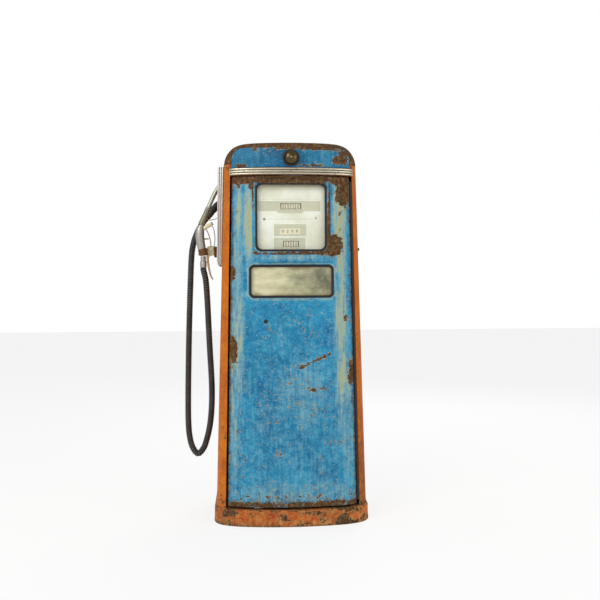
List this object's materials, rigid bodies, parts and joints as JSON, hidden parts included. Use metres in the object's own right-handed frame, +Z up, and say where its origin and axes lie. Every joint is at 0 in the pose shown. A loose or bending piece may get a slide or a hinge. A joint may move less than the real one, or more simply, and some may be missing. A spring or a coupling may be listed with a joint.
{
  "type": "gas pump",
  "caption": "Upright roadside fuel pump with bowed front door, dial window, lit sign window, hung nozzle, ribbed hose and internal pumping gear.",
  "frame": {"origin": "centre of the plinth footprint on the ground, under the middle of the bowed front and the rear panel", "axes": "+Z up; -Y is the front with the door and dial; +X is the right side with the reset crank; the nozzle and hose hang on the -X side"},
  "size_m": [0.8561, 0.4806, 1.73],
  "materials": {
    "orange_paint": "weathered orange enamel",
    "blue_paint": "chipped blue enamel",
    "plinth_paint": "rusted red oxide and orange enamel",
    "hood_paint": "rusted brown over orange enamel",
    "bright_trim": "dulled bright trim",
    "steel": "plain steel",
    "cast": "painted casting",
    "dark_rubber": "matt black rubber",
    "dark_paint": "matt black enamel",
    "cream_paint": "worn cream enamel",
    "white_paint": "off-white enamel",
    "clear_glass": "clear glass",
    "milky_glass": "yellowed milky glass",
    "silver_alloy": "worn cast alloy",
    "grey_paint": "grey enamel",
    "number_plastic": "off-white moulded plastic",
    "lamp_glass": "opal lamp glass"
  },
  "bodies": {
    "cabinet": {"base_plinth": "plinth_paint", "bed_plate": "cast", "frame_left": "steel", "frame_right": "steel", "register_shelf": "steel", "side_panel_left": "orange_paint", "side_panel_right": "orange_paint", "rear_panel": "blue_paint", "header_rail": "orange_paint", "hood": "hood_paint", "front_fascia": "blue_paint", "front_trim": "bright_trim", "side_trim": "bright_trim", "nozzle_pocket": "dark_paint", "nozzle_hook": "steel", "hose_outlet": "cast", "outlet_pipe": "steel", "pump_unit": "cast", "inlet_pipe": "steel", "motor_body": "grey_paint", "drive_belt": "dark_rubber", "meter_body": "cast", "register_frame": "cast", "dial_plate": "white_paint", "lamp_holder": "white_paint", "lamp_tube": "lamp_glass", "conduit_box": "grey_paint", "motor_switch": "grey_paint", "knob_ring": "dark_rubber", "hinge_leaf_fixed": "steel", "hose": "dark_rubber"},
    "door": {"front_door": "blue_paint", "dial_gasket": "dark_rubber", "dial_glass": "clear_glass", "ad_gasket": "dark_rubber", "ad_glass": "milky_glass", "hinge_leaf_door": "steel"},
    "latch": {"door_latch": "steel"},
    "knob": {"top_knob": "bright_trim"},
    "nozzle": {"nozzle_body": "silver_alloy", "nozzle_spout": "steel", "nozzle_guard": "silver_alloy"},
    "trigger": {"nozzle_lever": "silver_alloy"},
    "valve": {"valve_stem": "steel"},
    "swivel": {"hose_swivel": "silver_alloy"},
    "switch": {"switch_lever": "cream_paint"},
    "crank": {"reset_crank": "steel"},
    "grip": {"crank_grip": "dark_rubber"},
    "motor_wheel": {"motor_pulley": "cast"},
    "pump_wheel": {"pump_pulley": "cast"},
    "meter_shaft": {"drive_shaft": "steel"},
    "sale_1": {"sale_wheel_1": "number_plastic"},
    "sale_2": {"sale_wheel_2": "number_plastic"},
    "sale_3": {"sale_wheel_3": "number_plastic"},
    "sale_4": {"sale_wheel_4": "number_plastic"},
    "volume_1": {"volume_wheel_1": "number_plastic"},
    "volume_2": {"volume_wheel_2": "number_plastic"},
    "volume_3": {"volume_wheel_3": "number_plastic"}
  },
  "joints": [
    {"name": "door_swing", "type": "hinge", "parent": "cabinet", "child": "door", "pos_m": [0.29963, -0.18053, 0.104], "axis": [-0.0184, 0.0176, 0.9997], "range_deg": [0, 100]},
    {"name": "latch_turn", "type": "hinge", "parent": "door", "child": "latch", "pos_m": [-0.117, -0.20578, 0.922], "axis": [0, 1, 0], "range_deg": [0, 90]},
    {"name": "knob_turn", "type": "hinge", "parent": "cabinet", "child": "knob", "pos_m": [0, -0.20739, 1.655], "axis": [0, 1, 0], "range_deg": [0, 90]},
    {"name": "nozzle_draw", "type": "slide", "parent": "cabinet", "child": "nozzle", "axis": [-1, 0, 0], "range_m": [0, 0.15], "deforming": ["hose"]},
    {"name": "trigger_pull", "type": "hinge", "parent": "nozzle", "child": "trigger", "pos_m": [-0.3941, -0.015, 1.353], "axis": [0, 1, 0], "range_deg": [0, 10], "stiffness_Nm_per_rad": 0.5},
    {"name": "valve_press", "type": "slide", "parent": "nozzle", "child": "valve", "axis": [-1, 0, 0], "range_m": [0, 0.01]},
    {"name": "swivel_turn", "type": "hinge", "parent": "nozzle", "child": "swivel", "pos_m": [-0.4048, -0.015, 1.167], "axis": [0, 0, 1], "continuous": true},
    {"name": "switch_throw", "type": "hinge", "parent": "cabinet", "child": "switch", "pos_m": [-0.3, 0.022, 1.242], "axis": [1, 0, 0], "range_deg": [0, 90]},
    {"name": "crank_turn", "type": "hinge", "parent": "cabinet", "child": "crank", "pos_m": [0.3, 0, 1.318], "axis": [1, 0, 0], "continuous": true},
    {"name": "grip_spin", "type": "hinge", "parent": "crank", "child": "grip", "pos_m": [0.325, 0, 1.252], "axis": [1, 0, 0], "continuous": true},
    {"name": "pump_spin", "type": "hinge", "parent": "cabinet", "child": "pump_wheel", "pos_m": [-0.09, -0.088, 0.215], "axis": [0, 1, 0], "continuous": true},
    {"name": "motor_spin", "type": "hinge", "parent": "cabinet", "child": "motor_wheel", "pos_m": [0.115, -0.088, 0.19], "axis": [0, 1, 0], "continuous": true},
    {"name": "sale_4_turn", "type": "hinge", "parent": "cabinet", "child": "sale_4", "pos_m": [0, -0.13, 1.442], "axis": [1, 0, 0], "continuous": true},
    {"name": "meter_shaft_spin", "type": "hinge", "parent": "cabinet", "child": "meter_shaft", "pos_m": [0, 0.03, 1.16], "axis": [0, 0, 1], "continuous": true},
    {"name": "sale_3_turn", "type": "hinge", "parent": "cabinet", "child": "sale_3", "pos_m": [0, -0.13, 1.442], "axis": [1, 0, 0], "continuous": true},
    {"name": "sale_2_turn", "type": "hinge", "parent": "cabinet", "child": "sale_2", "pos_m": [0, -0.13, 1.442], "axis": [1, 0, 0], "continuous": true},
    {"name": "sale_1_turn", "type": "hinge", "parent": "cabinet", "child": "sale_1", "pos_m": [0, -0.13, 1.442], "axis": [1, 0, 0], "continuous": true},
    {"name": "volume_3_turn", "type": "hinge", "parent": "cabinet", "child": "volume_3", "pos_m": [0, -0.13, 1.272], "axis": [1, 0, 0], "continuous": true},
    {"name": "volume_2_turn", "type": "hinge", "parent": "cabinet", "child": "volume_2", "pos_m": [0, -0.13, 1.272], "axis": [1, 0, 0], "continuous": true},
    {"name": "volume_1_turn", "type": "hinge", "parent": "cabinet", "child": "volume_1", "pos_m": [0, -0.13, 1.272], "axis": [1, 0, 0], "continuous": true}
  ],
  "couplings": [
    {"joint": "valve_press", "follows": "trigger_pull", "m_per_rad": 0.055},
    {"joint": "motor_spin", "follows": "pump_spin", "ratio": 2.736},
    {"joint": "meter_shaft_spin", "follows": "sale_4_turn", "ratio": 2},
    {"joint": "sale_3_turn", "follows": "sale_4_turn", "ratio": 0.1},
    {"joint": "sale_2_turn", "follows": "sale_4_turn", "ratio": 0.01},
    {"joint": "sale_1_turn", "follows": "sale_4_turn", "ratio": 0.001},
    {"joint": "volume_3_turn", "follows": "sale_4_turn", "ratio": 0.5},
    {"joint": "volume_2_turn", "follows": "sale_4_turn", "ratio": 0.05},
    {"joint": "volume_1_turn", "follows": "sale_4_turn", "ratio": 0.005}
  ]
}
